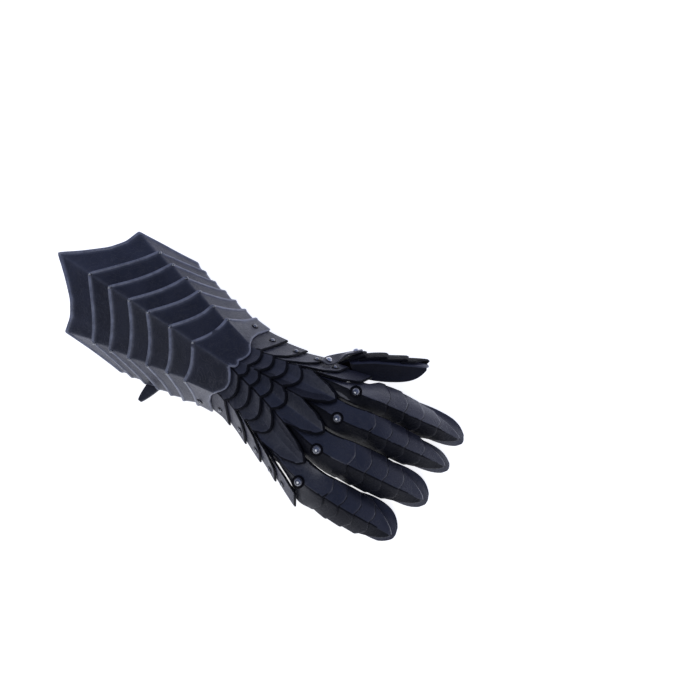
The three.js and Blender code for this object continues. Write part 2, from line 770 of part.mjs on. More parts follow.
const hiddenShare = overlap / (1 + overlap);
const thumbLobe = (c) => lobed(c) * notchLobe / thumbLength;
const thumbPitch = (s, c) => (s - thumbLobe(c) - thumbPlateEdge) / thumbStep;
const thumbBaseLift = (s, c) => step * clamp(1 + thumbPitch(s, c), 0, 1) + slip / 2;
shell('thumb_base', 'lame', fingerColumns, [
  thumbRow(() => 0, thumbBaseLift, leather),
  thumbRow((c) => thumbPlateEdge - thumbStep * (1 + overlap) + thumbLobe(c), thumbBaseLift, leather),
  thumbRow((c) => thumbPlateEdge - thumbStep / 2 + thumbLobe(c), thumbBaseLift, leather),
  thumbRow((c) => thumbPlateEdge - edgeBevel / thumbLength + thumbLobe(c), thumbBaseLift, leather),
  thumbRow((c) => thumbPlateEdge + thumbLobe(c), thumbBaseLift, leather * edgeShare),
]);
for (let i = 1; i <= thumbLames; i += 1) {
  const free = thumbPlateEdge + i * thumbStep;
  const edge = (c) => free + (i === thumbLames ? spear(c) / thumbLength : thumbLobe(c));
  const back = (c) => free - thumbStep * (1 + overlap) + thumbLobe(c);
  const lift = (s, c) => step * Math.min(1, thumbPitch(s, c) - i + 1);
  shell(`thumb_lame_${i}`, 'lame', fingerColumns, [
    thumbRow(back, lift, leather),
    thumbRow((c) => lerp(back(c), edge(c), hiddenShare), lift, leather),
    thumbRow((c) => lerp(back(c), edge(c), (1 + hiddenShare) / 2), lift, leather),
    thumbRow((c) => edge(c) - edgeBevel / thumbLength, lift, leather),
    thumbRow(edge, lift, leather * edgeShare),
  ]);
}
const thumbTongueHalf = (s) => Math.max(tongueTip, roundedEnd(s, stages.thumbTongueEnd));
shell('tongue_thumb', 'tongue', fingerColumns, tongueRows.map(
  (share) => thumbRow(() => lerp(thumbTongueStart, 1, share), tongueLift, leather, thumbTongueHalf),
));

// A strip of leather along a row of places, each { at, normal, half }.
function ribbon(name, places, thick) {
  const low = [];
  const high = [];
  places.forEach((place, i) => {
    const before = places[Math.max(0, i - 1)].at;
    const after = places[Math.min(places.length - 1, i + 1)].at;
    const along = after.clone().sub(before).normalize();
    const side = place.normal.clone().cross(along).normalize();
    const up = along.clone().cross(side).normalize();
    const corner = (across, rise) => place.at.clone()
      .addScaledVector(side, across * place.half)
      .addScaledVector(up, rise * thick / 2);
    low.push([corner(-1, -1), corner(1, -1)]);
    high.push([corner(-1, 1), corner(1, 1)]);
  });
  addNode(name, 'strap', closedGrid(low, high));
}

// A strap across the arm at one run; its places turn with the line.
function crossStrap(name, at, line, halfOf) {
  ribbon(name, line.map((p, i) => {
    const before = line[Math.max(0, i - 1)];
    const after = line[Math.min(line.length - 1, i + 1)];
    const normal = new THREE.Vector3(0, before.z - after.z, after.y - before.y);
    return { at: new THREE.Vector3(at, p.y, p.z), normal, half: halfOf(i) };
  }), strapThick);
}

const cuffStrapEnd = cuffStrapLine.length - 1;
crossStrap('cuff_strap', cuffStrapAt, cuffStrapLine.map((p) => ({
  y: p.out * knuckleSpan,
  z: p.rise * wristRise + (p.rise ? 0 : strapThick / 2),
})), (i) => strapHalf * (cuffStrapPoint[cuffStrapEnd - i] ?? 1));

crossStrap('palm_strap', palmStrapAt, palmStrapLine.map(
  (p) => toTable(new THREE.Vector3(palmStrapAt, p.out * knuckleSpan, p.rise * wristRise)),
), () => strapHalf);

const wasm = await Module();
wasm.setup();

function joined(boxes) {
  const solids = boxes.map((geometry) => {
    geometry.deleteAttribute('normal');
    geometry.deleteAttribute('uv');
    const welded = mergeVertices(geometry);
    return new wasm.Manifold(new wasm.Mesh({
      numProp: 3,
      vertProperties: welded.attributes.position.array,
      triVerts: new Uint32Array(welded.index.array),
    }));
  });
  const mesh = solids.reduce((all, next) => all.add(next)).getMesh();
  const geometry = new THREE.BufferGeometry();
  geometry.setAttribute('position', new THREE.BufferAttribute(mesh.vertProperties, 3));
  geometry.setIndex(new THREE.BufferAttribute(mesh.triVerts, 1));
  return geometry;
}

// Strap buckle: a frame with its prong, lying on the strap.
function buckle(at, across, half, bar, thick) {
  const piece = (w, d, x, y) => new THREE.BoxGeometry(w, d, thick)
    .translate(at.x + x, at.y + y, at.z + thick / 2);
  return joined([
    piece(2 * across, bar, 0, half - bar / 2),
    piece(2 * across, bar, 0, bar / 2 - half),
    piece(bar, 2 * half, across - bar / 2, 0),
    piece(bar, 2 * half, bar / 2 - across, 0),
    piece(bar, 2 * half - bar, 0, 0),
  ]);
}
addNode('cuff_buckle', 'steel', buckle(
  new THREE.Vector3(cuffStrapAt, buckleAcross, strapThick + seatGap),
  strapHalf + buckleBar, buckleHalf, buckleBar, buckleThick,
));

// The thumb hangs from a link riveted on the hand's far side and on the back
// of the thumb.
const linkLift = seatGap + linkThick / 2;

function handPlace(column, half) {
  const lift = step + leather + linkLift;
  const at = toTable(armPoint(column, linkAt, lift));
  const normal = at.clone().sub(toTable(armPoint(column, linkAt, lift - 1)));
  return { at, normal, half };
}

function thumbPlace(s, half, arch = 0) {
  const size = thumbSize(s);
  const rise = thumbBaseLift(s, linkSide) + leather;
  const reach = 0.02;
  const place = (ds, dc) => digitPoint(
    thumbAt, s + ds, linkSide + dc, thumbHalf * size, thumbDrop * size, rise,
  );
  const along = place(reach, 0).sub(place(-reach, 0));
  const across = place(0, -reach).sub(place(0, reach));
  const normal = across.cross(along).normalize();
  return { at: place(0, 0).addScaledVector(normal, linkLift + arch), normal, half };
}

const linkPlaces = [
  handPlace(linkColumn - 0.2, linkHalf * linkTip),
  handPlace(linkColumn, linkHalf),
  handPlace(hemColumn, linkHalf),
  thumbPlace(linkEnd - 0.1, linkHalf, linkArch),
  thumbPlace(linkEnd, linkHalf),
  thumbPlace(linkEnd + 0.06, linkHalf * linkTip),
];
ribbon('thumb_link', linkPlaces, linkThick);
const onLink = linkThick / 2 + seatGap * 3;
for (const [name, place] of [['link_rivet_hand', linkPlaces[1]], ['link_rivet_thumb', linkPlaces[4]]]) {
  const up = place.normal.clone().normalize();
  addNode(name, 'steel', dome(place.at.clone().addScaledVector(up, onLink), up, linkRivetRadius, linkRivetHeight));
}

// The origin goes under the middle of the whole gauntlet.
const bounds = new THREE.Box3();
for (const mesh of group.children) bounds.expandByObject(mesh);
const centre = bounds.getCenter(new THREE.Vector3());
for (const mesh of group.children) mesh.geometry.translate(-centre.x, -centre.y, -bounds.min.z);

export default group;
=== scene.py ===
import json
import math

import bmesh
import bpy
from mathutils import Matrix, Vector, noise
from mathutils.bvhtree import BVHTree
from mathutils.kdtree import KDTree

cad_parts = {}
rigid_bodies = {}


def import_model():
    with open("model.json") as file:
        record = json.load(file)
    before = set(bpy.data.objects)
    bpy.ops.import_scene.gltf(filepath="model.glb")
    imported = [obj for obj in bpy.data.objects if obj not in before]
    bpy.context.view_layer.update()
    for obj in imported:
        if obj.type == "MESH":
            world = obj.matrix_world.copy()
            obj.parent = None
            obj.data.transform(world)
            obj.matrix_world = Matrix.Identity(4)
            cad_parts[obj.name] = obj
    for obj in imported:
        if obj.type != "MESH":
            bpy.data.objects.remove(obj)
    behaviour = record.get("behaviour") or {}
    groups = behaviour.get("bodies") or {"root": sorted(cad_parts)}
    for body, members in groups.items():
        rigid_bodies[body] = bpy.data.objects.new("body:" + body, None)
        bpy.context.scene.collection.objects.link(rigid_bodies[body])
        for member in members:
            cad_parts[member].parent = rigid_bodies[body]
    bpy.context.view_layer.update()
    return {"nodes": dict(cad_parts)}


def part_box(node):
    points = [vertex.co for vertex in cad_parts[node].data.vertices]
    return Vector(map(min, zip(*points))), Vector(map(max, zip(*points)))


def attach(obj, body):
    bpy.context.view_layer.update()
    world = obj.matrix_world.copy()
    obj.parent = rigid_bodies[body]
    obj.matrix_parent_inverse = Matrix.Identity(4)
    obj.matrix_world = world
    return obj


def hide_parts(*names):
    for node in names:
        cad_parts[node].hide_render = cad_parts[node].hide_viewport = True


for leftover in list(bpy.data.objects):
    bpy.data.objects.remove(leftover)
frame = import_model()
cadNodes = frame["nodes"]
print("frame loaded:", len(cadNodes), "nodes")

# dyed black cowhide; shine and dull are the roughness of polished and of matt spots
lameHide = {
    "dark": (0.0030, 0.0034, 0.0056),
    "pale": (0.0105, 0.0115, 0.0180),
    # pale rubbed tone, on the cuff's mouth-side bands partly wear and partly painted highlight
    "wornAndHighlit": (0.1900, 0.2000, 0.2350),
    "flesh": (0.0150, 0.0130, 0.0120),
    "tint": (0.84, 0.87, 1.0),
    "specular": 0.42,
    "shine": 0.30,
    "dull": 0.50,
    "coat": 0.16,
    "sheenWeight": 0.10,
}
mouthHide = dict(lameHide, specular=0.5, coat=0.42, pale=(0.0130, 0.0145, 0.0230))
scaleHide = dict(lameHide, specular=0.5, coat=0.24, pale=(0.0150, 0.0152, 0.0190))
digitHide = dict(lameHide, specular=0.5, coat=0.34, shine=0.28, wornAndHighlit=(0.030, 0.032, 0.040))
# painted shade: the thumb takes a darker, duller copy of the leather for the shade that falls on it
shadedThumbHide = dict(lameHide, specular=0.06, coat=0.0, shine=0.50, dull=0.70, sheenWeight=0.0,
                 pale=(0.0050, 0.0050, 0.0060), wornAndHighlit=(0.006, 0.006, 0.007))
# black edge dye of the small lames, a duller finish for their side flaps, and painted shade on the near sides
# of the fingers and thumb
edgeHide = dict(lameHide, specular=0.10, coat=0.0, shine=0.55, dull=0.75, sheenWeight=0.02,
                dark=(0.0018, 0.0019, 0.0026), pale=(0.0050, 0.0053, 0.0075), wornAndHighlit=(0.012, 0.013, 0.016))
flapHide = dict(lameHide, specular=0.24, coat=0.05, shine=0.36, dull=0.55)
# painted shade: a darker, less shiny copy of the leather for the near sides of the fingers and thumb, where
# shade falls between them
shadedSideHide = dict(lameHide, specular=0.16, coat=0.03, shine=0.42, dull=0.60, sheenWeight=0.03,
                dark=(0.0020, 0.0022, 0.0032), pale=(0.0065, 0.0070, 0.0100), wornAndHighlit=(0.012, 0.013, 0.016))
tongueHide = dict(lameHide, coat=0.15, shine=0.42, dull=0.62,
                  dark=(0.0030, 0.0040, 0.0100), pale=(0.0080, 0.0105, 0.0240), wornAndHighlit=(0.020, 0.024, 0.045))
strapHide = dict(lameHide, coat=0.25, shine=0.40,
                 dark=(0.0160, 0.0160, 0.0175), pale=(0.0420, 0.0420, 0.0450), wornAndHighlit=(0.050, 0.050, 0.058))

# what all the leathers share; scales are cells or waves per metre, depths metres
leatherGrain = {
    "pebbleScale": 950, "poreScale": 2185, "cloudScale": 38, "patchScale": 140, "foldScale": 95,
    "pebbleDepth": 0.00016, "pebbleStrength": 0.45, "poreShare": 0.35, "pebbleEdge": 0.22,
    "creaseDepth": 0.00030, "creaseStrength": 0.6, "creaseWidth": 0.035,
    "wornSmoother": 0.06, "fleshRougher": 0.4,
    "coatRoughness": 0.26, "sheenRoughness": 0.45, "sheenTint": (0.55, 0.57, 0.90),
}
metalGrain = {"cloudScale": 420, "scratchScale": 2600, "scratchDepth": 0.00004, "scratchStrength": 0.35}


def startMaterial(name):
    made = bpy.data.materials.new(name)
    made.use_nodes = True
    tree = made.node_tree
    return made, tree, tree.nodes["Principled BSDF"]


def addNode(tree, kind, inputs=None, **settings):
    node = tree.nodes.new(kind)
    for key, value in settings.items():
        setattr(node, key, value)
    for key, value in (inputs or {}).items():
        socket = node.inputs[key]
        if isinstance(value, bpy.types.NodeSocket):
            tree.links.new(value, socket)
        else:
            socket.default_value = value
    return node


def mathNode(tree, operation, first, second=0.0, clamp=False):
    node = addNode(tree, "ShaderNodeMath", {0: first, 1: second}, operation=operation, use_clamp=clamp)
    return node.outputs[0]


def fadeNode(tree, value, low, high, toLow=0.0, toHigh=1.0):
    return addNode(tree, "ShaderNodeMapRange", {
        "Value": value, "From Min": low, "From Max": high, "To Min": toLow, "To Max": toHigh,
    }).outputs["Result"]


def mixColour(tree, factor, first, second):
    node = addNode(tree, "ShaderNodeMix", data_type="RGBA")
    for socket, value in ((node.inputs[0], factor), (node.inputs[6], first), (node.inputs[7], second)):
        if isinstance(value, bpy.types.NodeSocket):
            tree.links.new(value, socket)
        elif isinstance(value, tuple):
            socket.default_value = (*value, 1)
        else:
            socket.default_value = value
    return node.outputs[2]


def noiseNode(tree, place, scale, detail, **extra):
    inputs = {"Vector": place, "Scale": scale, "Detail": detail}
    inputs.update(extra)
    return addNode(tree, "ShaderNodeTexNoise", inputs).outputs["Fac"]


def leatherTone(tree, hide, cloud, pores, wearAndHighlight, inside):
    tone = mixColour(tree, fadeNode(tree, cloud, 0.36, 0.66), hide["dark"], hide["pale"])
    tone = mixColour(tree, wearAndHighlight, tone, hide["wornAndHighlit"])
    fibre = mixColour(tree, fadeNode(tree, pores, 0.3, 0.7), hide["flesh"], hide["pale"])
    return mixColour(tree, inside, tone, fibre)


def leatherPolish(tree, hide, cloud, patch, wearAndHighlight, inside):
    blotch = mathNode(tree, "ADD", cloud, mathNode(tree, "MULTIPLY", patch, 0.5))
    polish = fadeNode(tree, blotch, 0.55, 0.95, hide["shine"], hide["dull"])
    smoother = mathNode(tree, "MULTIPLY", wearAndHighlight, leatherGrain["wornSmoother"])
    rougher = mathNode(tree, "MULTIPLY", inside, leatherGrain["fleshRougher"])
    return mathNode(tree, "ADD", mathNode(tree, "SUBTRACT", polish, smoother), rougher, True)


def leatherRelief(tree, place, pores):
    grain = leatherGrain
    cells = addNode(tree, "ShaderNodeTexVoronoi", {"Vector": place, "Scale": grain["pebbleScale"]},
                    feature="DISTANCE_TO_EDGE").outputs["Distance"]
    fold = noiseNode(tree, place, grain["foldScale"], 4.0, Distortion=1.4)
    # thin crease lines where the folded noise passes its middle
    crease = fadeNode(tree, mathNode(tree, "ABSOLUTE", mathNode(tree, "SUBTRACT", fold, 0.5)),
                      0.0, grain["creaseWidth"])
    height = mathNode(tree, "ADD", fadeNode(tree, cells, 0.0, grain["pebbleEdge"]),
                      mathNode(tree, "MULTIPLY", pores, grain["poreShare"]))
    pebbles = addNode(tree, "ShaderNodeBump", {
        "Strength": grain["pebbleStrength"], "Distance": grain["pebbleDepth"], "Height": height})
    return addNode(tree, "ShaderNodeBump", {
        "Strength": grain["creaseStrength"], "Distance": grain["creaseDepth"], "Height": crease,
        "Normal": pebbles.outputs["Normal"]}).outputs["Normal"]


def leatherMaterial(name, hide):
    made, tree, surface = startMaterial(name)
    place = addNode(tree, "ShaderNodeTexCoord").outputs["Object"]
    pores = noiseNode(tree, place, leatherGrain["poreScale"], 3.0)
    cloud = noiseNode(tree, place, leatherGrain["cloudScale"], 5.0, Roughness=0.62)
    patch = noiseNode(tree, place, leatherGrain["patchScale"], 4.0, Roughness=0.7)
    rim = addNode(tree, "ShaderNodeAttribute", attribute_name="rimWearAndHighlight").outputs["Fac"]
    inside = addNode(tree, "ShaderNodeAttribute", attribute_name="fleshSide").outputs["Fac"]
    # rubbed rims with the pale mouth-side bands, partly wear and partly painted highlight, broken up so that
    # no band is even
    wearAndHighlight = mathNode(tree, "MULTIPLY", rim, fadeNode(tree, patch, 0.34, 0.62, 0.55, 1.0), True)
    tree.links.new(leatherTone(tree, hide, cloud, pores, wearAndHighlight, inside), surface.inputs["Base Color"])
    tree.links.new(leatherPolish(tree, hide, cloud, patch, wearAndHighlight, inside), surface.inputs["Roughness"])
    tree.links.new(leatherRelief(tree, place, pores), surface.inputs["Normal"])
    surface.inputs["Specular IOR Level"].default_value = hide["specular"]
    surface.inputs["Specular Tint"].default_value = (*hide["tint"], 1)
    surface.inputs["Coat Weight"].default_value = hide["coat"]
    surface.inputs["Coat Tint"].default_value = (*hide["tint"], 1)
    surface.inputs["Coat Roughness"].default_value = leatherGrain["coatRoughness"]
    surface.inputs["Sheen Weight"].default_value = hide["sheenWeight"]
    surface.inputs["Sheen Roughness"].default_value = leatherGrain["sheenRoughness"]
    surface.inputs["Sheen Tint"].default_value = (*leatherGrain["sheenTint"], 1)
    return made


def metalMaterial(name, dark, pale, shine, dull):
    made, tree, surface = startMaterial(name)
    place = addNode(tree, "ShaderNodeTexCoord").outputs["Object"]
    cloud = noiseNode(tree, place, metalGrain["cloudScale"], 5.0, Roughness=0.65)
    scratch = noiseNode(tree, place, metalGrain["scratchScale"], 2.0, Distortion=2.0)
    tone = mixColour(tree, fadeNode(tree, cloud, 0.35, 0.7), dark, pale)
    tree.links.new(tone, surface.inputs["Base Color"])
    tree.links.new(fadeNode(tree, cloud, 0.3, 0.75, shine, dull), surface.inputs["Roughness"])
    bump = addNode(tree, "ShaderNodeBump", {
        "Strength": metalGrain["scratchStrength"], "Distance": metalGrain["scratchDepth"], "Height": scratch})
    tree.links.new(bump.outputs["Normal"], surface.inputs["Normal"])
    surface.inputs["Metallic"].default_value = 1.0
    return made


lameLeather = leatherMaterial("lameLeather", lameHide)
mouthLeather = leatherMaterial("mouthLeather", mouthHide)
scaleLeather = leatherMaterial("scaleLeather", scaleHide)
digitLeather = leatherMaterial("digitLeather", digitHide)
thumbLeather = leatherMaterial("thumbLeather", shadedThumbHide)
edgeLeather = leatherMaterial("edgeLeather", edgeHide)
shadedSideLeather = leatherMaterial("shadedSideLeather", shadedSideHide)
flapLeather = leatherMaterial("flapLeather", flapHide)
tongueLeather = leatherMaterial("tongueLeather", tongueHide)
strapLeather = leatherMaterial("strapLeather", strapHide)
gunmetal = metalMaterial("gunmetal", (0.13, 0.134, 0.145), (0.32, 0.33, 0.35), 0.12, 0.28)
brightSteel = metalMaterial("brightSteel", (0.42, 0.43, 0.45), (0.66, 0.67, 0.69), 0.16, 0.32)
blackIron = metalMaterial("blackIron", (0.004, 0.004, 0.005), (0.012, 0.012, 0.014), 0.45, 0.65)
print("materials made")

# the arm's own axes in the frame: its roll about X, and where its origin lies, millimetres
rollTurn = math.radians(15.9)
gauntletShift = Vector((-43.61, -17.48, 16.2))
weldGap = 2e-6             # metres, the CAD mesh's corners that are one
flatTurn = 0.02            # radians, faces that are one flat face
joinTurn = math.radians(32)
joinSkew = math.radians(150)

# how a plain CAD shell becomes a leather lame
lameDressing = {
    "rimAngle": 68,        # degrees between two faces, more is an edge of the sheet
    "ridgeAngle": 11,      # more is a ridge folded into the sheet
    "rimCrease": 0.42,
    "ridgeCrease": 0.58,
    "levels": 3,
    "ease": 0,             # smoothing rounds before the sheet is subdivided
    "easeAngle": 38,       # corners on a sharper edge than this stay
    "wander": 0.00035,     # hand-made unevenness, metres
    "wanderSize": 0.028,
    "wanderSeed": 7,
    "band": 0.0022,        # width of the pale border toward the mouth, rubbed wear and painted highlight
    "rimReach": 0.0004,    # how softly it ends
    "rimWearAndHighlight": 0.95,
    "ridgeReach": 0.0012,
    "ridgeWear": 0.25,
    "edgeReach": 0,        # width of the black edge dye
    "sideTurn": -2,        # across part of a face's normal, less takes the side finish: painted shade on fingers and thumb, the duller flap finish on the hand lames
    "farTurn": 2,          # and so does more than this
}
scaleDressing = dict(lameDressing, rimWearAndHighlight=0.10, ridgeWear=0.10, rimAngle=38, band=0, rimReach=0.0008,
                     edgeReach=0.0012, sideTurn=-0.5, farTurn=0.5)
digitDressing = dict(scaleDressing, ridgeAngle=24, ridgeCrease=0.5, rimAngle=56, rimWearAndHighlight=0.04,
                     sideTurn=-0.2, farTurn=2)
knuckleDressing = dict(digitDressing, ridgeAngle=34, ease=2, ridgeCrease=0.4)
softDressing = dict(scaleDressing, ridgeAngle=40, rimWearAndHighlight=0.1, edgeReach=0, sideTurn=-2, farTurn=2)


def cadForm(nodeName):
    form = bmesh.new()
    form.from_mesh(cadNodes[nodeName].data)
    bmesh.ops.remove_doubles(form, verts=form.verts, dist=weldGap)
    return form


def shellForm(nodeName, dressing):
    form = cadForm(nodeName)
    bmesh.ops.join_triangles(form, faces=form.faces, angle_face_threshold=joinTurn,
                             angle_shape_threshold=joinSkew, topology_influence=1.0)
    soft = math.radians(dressing["easeAngle"])
    for _ in range(dressing["ease"]):
        inner = [vertex for vertex in form.verts
                 if all(edge.calc_face_angle(0.0) < soft for edge in vertex.link_edges)]
        bmesh.ops.smooth_vert(form, verts=inner, factor=0.5, use_axis_x=True, use_axis_y=True, use_axis_z=True)
    return form


def creaseEdges(form, dressing):
    layer = form.edges.layers.float.get("crease_edge") or form.edges.layers.float.new("crease_edge")
    rims, ridges = [], []
    for edge in form.edges:
        if not edge.is_manifold:
            continue
        turn = math.degrees(edge.calc_face_angle(0.0))
        if turn > dressing["rimAngle"]:
            edge[layer] = dressing["rimCrease"]
            rims.append(edge)
        elif turn > dressing["ridgeAngle"]:
            edge[layer] = dressing["ridgeCrease"]
            ridges.append(edge)
    return rims, ridges


def pointsAlong(edges, pitch=0.0007):
    found = []
    for edge in edges:
        start, end = edge.verts[0].co, edge.verts[1].co
        count = max(1, round((end - start).length / pitch))
        found += [start.lerp(end, i / count) for i in range(count + 1)]
    return found


def treeOf(points):
    tree = KDTree(max(1, len(points)))
    for i, point in enumerate(points):
        tree.insert(point, i)
    tree.balance()
    return tree


# without a fixed seed each run of Blender shifts this noise
noise.seed_set(lameDressing["wanderSeed"])


def wander(point, dressing):
    drift = noise.noise_vector(point / dressing["wanderSize"])
    return point + drift * dressing["wander"]


def swollen(form, name, levels):
    mesh = bpy.data.meshes.new(name)
    form.to_mesh(mesh)
    form.free()
    piece = bpy.data.objects.new(name, mesh)
    bpy.context.scene.collection.objects.link(piece)
    swell = piece.modifiers.new("swell", "SUBSURF")
    swell.levels = swell.render_levels = levels
    dressed = bpy.data.meshes.new_from_object(piece.evaluated_get(bpy.context.evaluated_depsgraph_get()))
    piece.modifiers.clear()
    piece.data = dressed
    dressed.name = name
    return piece, dressed


def wearAndHighlightOf(point, rimSpot, rim, ridge, dressing):
    past = max(0, rim - dressing["band"])
    # only the border toward the mouth gets the pale band, rubbed wear and painted highlight
    if dressing["band"] and rimSpot.x > point.x + dressing["band"] / 2:
        past = 1
    return min(1, dressing["rimWearAndHighlight"] * math.exp(-past / dressing["rimReach"])
               + dressing["ridgeWear"] * math.exp(-ridge / dressing["ridgeReach"]))


def dressLeather(nodeName, leather, flapFinishAndSideShade, dressing):
    form = shellForm(nodeName, dressing)
    rims, ridges = creaseEdges(form, dressing)
    rimTree, ridgeTree = treeOf(pointsAlong(rims)), treeOf(pointsAlong(ridges))
    piece, dressed = swollen(form, f"leather_{nodeName}", dressing["levels"])
    low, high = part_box(nodeName)
    heart = (Vector(low) + Vector(high)) / 2
    # an arch is open below, so its flesh side looks at the floor of its box
    if not nodeName.startswith(("thumb", "tongue_thumb")):
        heart.z = low[2]
    paleWearAndHighlight, flesh, rimGap = [], [], []
    for vertex in dressed.vertices:
        rimSpot, _, rim = rimTree.find(vertex.co) if rims else (vertex.co, 0, 1)
        ridge = ridgeTree.find(vertex.co)[2] if ridges else 1
        rimGap.append(rim)
        paleWearAndHighlight.append(wearAndHighlightOf(vertex.co, rimSpot, rim, ridge, dressing))
        flesh.append(1.0 if vertex.normal.dot(vertex.co - heart) < 0 else 0.0)
    for vertex in dressed.vertices:
        vertex.co = wander(vertex.co, dressing)
    dressed.attributes.new("rimWearAndHighlight", "FLOAT", "POINT").data.foreach_set("value", paleWearAndHighlight)
    dressed.attributes.new("fleshSide", "FLOAT", "POINT").data.foreach_set("value", flesh)
    dressed.materials.clear()
    for finish in (leather, edgeLeather, flapFinishAndSideShade):
        dressed.materials.append(finish)
    for face in dressed.polygons:
        face.use_smooth = True
        # faces turned far enough to one side take the side finish: painted shade on fingers and thumb, the
        # duller flap finish on the hand lames
        across = face.normal.y * math.cos(rollTurn) + face.normal.z * math.sin(rollTurn)
        if all(rimGap[i] < dressing["edgeReach"] for i in face.vertices):
            face.material_index = 1
        else:
            face.material_index = 0 if dressing["sideTurn"] <= across <= dressing["farTurn"] else 2
    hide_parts(nodeName)
    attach(piece, "root")
    return piece


armNodes = ["mouth_lame"] + [f"cuff_lame_{k}" for k in range(1, 6)] + ["wrist_lame"]
armNodes += [f"hand_lame_{k}" for k in range(1, 6)]
fingerNames = ["little", "ring", "middle", "index"]
digitNodes = [f"knuckle_{name}" for name in fingerNames]
digitNodes += [f"{name}_lame_{k}" for name in fingerNames for k in range(1, 5)]
digitNodes += ["thumb_base"] + [f"thumb_lame_{k}" for k in range(1, 4)]
tongueNodes = [f"tongue_{name}" for name in fingerNames + ["thumb"]]
strapNodes = ["cuff_strap", "palm_strap", "thumb_link"]


def dressingOf(nodeName):
    if nodeName.startswith("knuckle"):
        return knuckleDressing
    if nodeName in digitNodes:
        return digitDressing
    return scaleDressing if nodeName.startswith("hand") else lameDressing


def hideOf(nodeName):
    if nodeName == "mouth_lame":
        return mouthLeather
    if nodeName.startswith("thumb"):
        # painted shade: the thumb's lames take the darker copy of the leather
        return thumbLeather
    if nodeName.startswith("hand"):
        return scaleLeather
    return digitLeather if nodeName in digitNodes else lameLeather


pieces = {}
for nodeName in armNodes + digitNodes:
    flapFinishAndSideShade = flapLeather if nodeName.startswith("hand") else shadedSideLeather
    pieces[nodeName] = dressLeather(nodeName, hideOf(nodeName), flapFinishAndSideShade,
                                    dressingOf(nodeName))
print("lames dressed")
for nodeName in tongueNodes:
    pieces[nodeName] = dressLeather(nodeName, tongueLeather, shadedSideLeather, softDressing)
for nodeName in strapNodes:
    pieces[nodeName] = dressLeather(nodeName, strapLeather, shadedSideLeather, softDressing)
print("tongues and straps dressed")

# turned rivet heads, profile as shares of radius and height
rivetHead = {
    "profile": [(1.0, 0.0), (1.0, 0.16), (0.92, 0.22), (0.86, 0.26), (0.82, 0.46), (0.72, 0.68),
                (0.56, 0.85), (0.36, 0.95), (0.17, 0.99)],
    "sides": 32,
}


def headForm(radius, height, sides=rivetHead["sides"]):
    form = bmesh.new()
    rings = []
    for out, rise in rivetHead["profile"]:
        rings.append([form.verts.new((radius * out * math.cos(2 * math.pi * i / sides),
                                      radius * out * math.sin(2 * math.pi * i / sides), height * rise))
                      for i in range(sides)])
    top, base = form.verts.new((0, 0, height)), form.verts.new((0, 0, 0))
    for i in range(sides):
        j = (i + 1) % sides
        for lower, upper in zip(rings, rings[1:]):
            form.faces.new((lower[i], lower[j], upper[j], upper[i]))
        form.faces.new((rings[-1][i], rings[-1][j], top))
        form.faces.new((rings[0][j], rings[0][i], base))
    return form


def headPiece(name, form, place, material):
    form.transform(place)
    mesh = bpy.data.meshes.new(name)
    form.to_mesh(mesh)
    form.free()
    mesh.materials.append(material)
    for face in mesh.polygons:
        face.use_smooth = True
    piece = bpy.data.objects.new(name, mesh)
    bpy.context.scene.collection.objects.link(piece)
    return piece


def flatForm(nodeName):
    form = cadForm(nodeName)
    bmesh.ops.dissolve_limit(form, angle_limit=flatTurn, verts=form.verts, edges=form.edges)
    return form


def seatOf(nodeName):
    form = flatForm(nodeName)
    base = max(form.faces, key=lambda face: face.calc_area())
    middle = sum((vertex.co for vertex in base.verts), Vector()) / len(base.verts)
    radius = max((vertex.co - middle).length for vertex in base.verts)
    height = max((vertex.co - middle).dot(-base.normal) for vertex in form.verts)
    up = -base.normal.copy()
    form.free()
    return middle, up, radius, height


def standOn(middle, up):
    return Matrix.Translation(middle) @ up.to_track_quat("Z", "Y").to_matrix().to_4x4()


def turnRivet(nodeName, metal):
    middle, up, radius, height = seatOf(nodeName)
    head = headPiece(f"head_{nodeName}", headForm(radius, height), standOn(middle, up), metal)
    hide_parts(nodeName)
    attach(head, "root")
    return middle, up, radius


seats = [turnRivet(f"rivet_{name}", gunmetal) for name in fingerNames]
for nodeName in ("link_rivet_hand", "link_rivet_thumb"):
    turnRivet(nodeName, brightSteel)
print("knuckle and link rivets turned")

# small rivets along the side flaps, and knobs on the cuff's corners; along,
# across and rise are millimetres on the arm's own axes, near and far the rises
# on its two sides, and each head sits where the leather is met there
sideRivets = [
    {"node": "wrist_lame", "along": 20.6, "near": 16, "farAlong": 27, "far": 22},
    {"node": "hand_lame_1", "along": 45, "near": 17, "farAlong": 51, "far": 22},
    {"node": "hand_lame_2", "along": 73.8, "near": 20.5, "farAlong": 78, "far": 22},
    {"node": "hand_lame_3", "along": 98.3, "near": 21.3, "farAlong": 100, "far": 22},
    {"node": "hand_lame_4", "along": 118.4, "near": 17, "farAlong": 119.5, "far": 22},
    {"node": "hand_lame_5", "along": 135.4, "near": 18, "farAlong": None, "far": None},
]
cornerKnobs = [
    {"node": "cuff_lame_1", "peakAlong": -126, "peak": 70, "along": -94.6, "across": 53.4, "rise": 49},
    {"node": "cuff_lame_2", "peakAlong": -99.8, "peak": 68.7, "along": -73.9, "across": 50, "rise": 48.8},
    {"node": "cuff_lame_3", "peakAlong": -75.7, "peak": 66.2, "along": -52.2, "across": 45.8, "rise": 48.5},
    {"node": "cuff_lame_4", "peakAlong": -53.7, "peak": 63.1, "along": -31.7, "across": 41.2, "rise": 48},
    {"node": "cuff_lame_5", "peakAlong": -27.8, "peak": 59.5, "along": -10.3, "across": 36.9, "rise": 47.5},
    {"node": "wrist_lame", "peakAlong": 0, "peak": 57.2, "along": 9.9, "across": 33.1, "rise": 46.8},
]
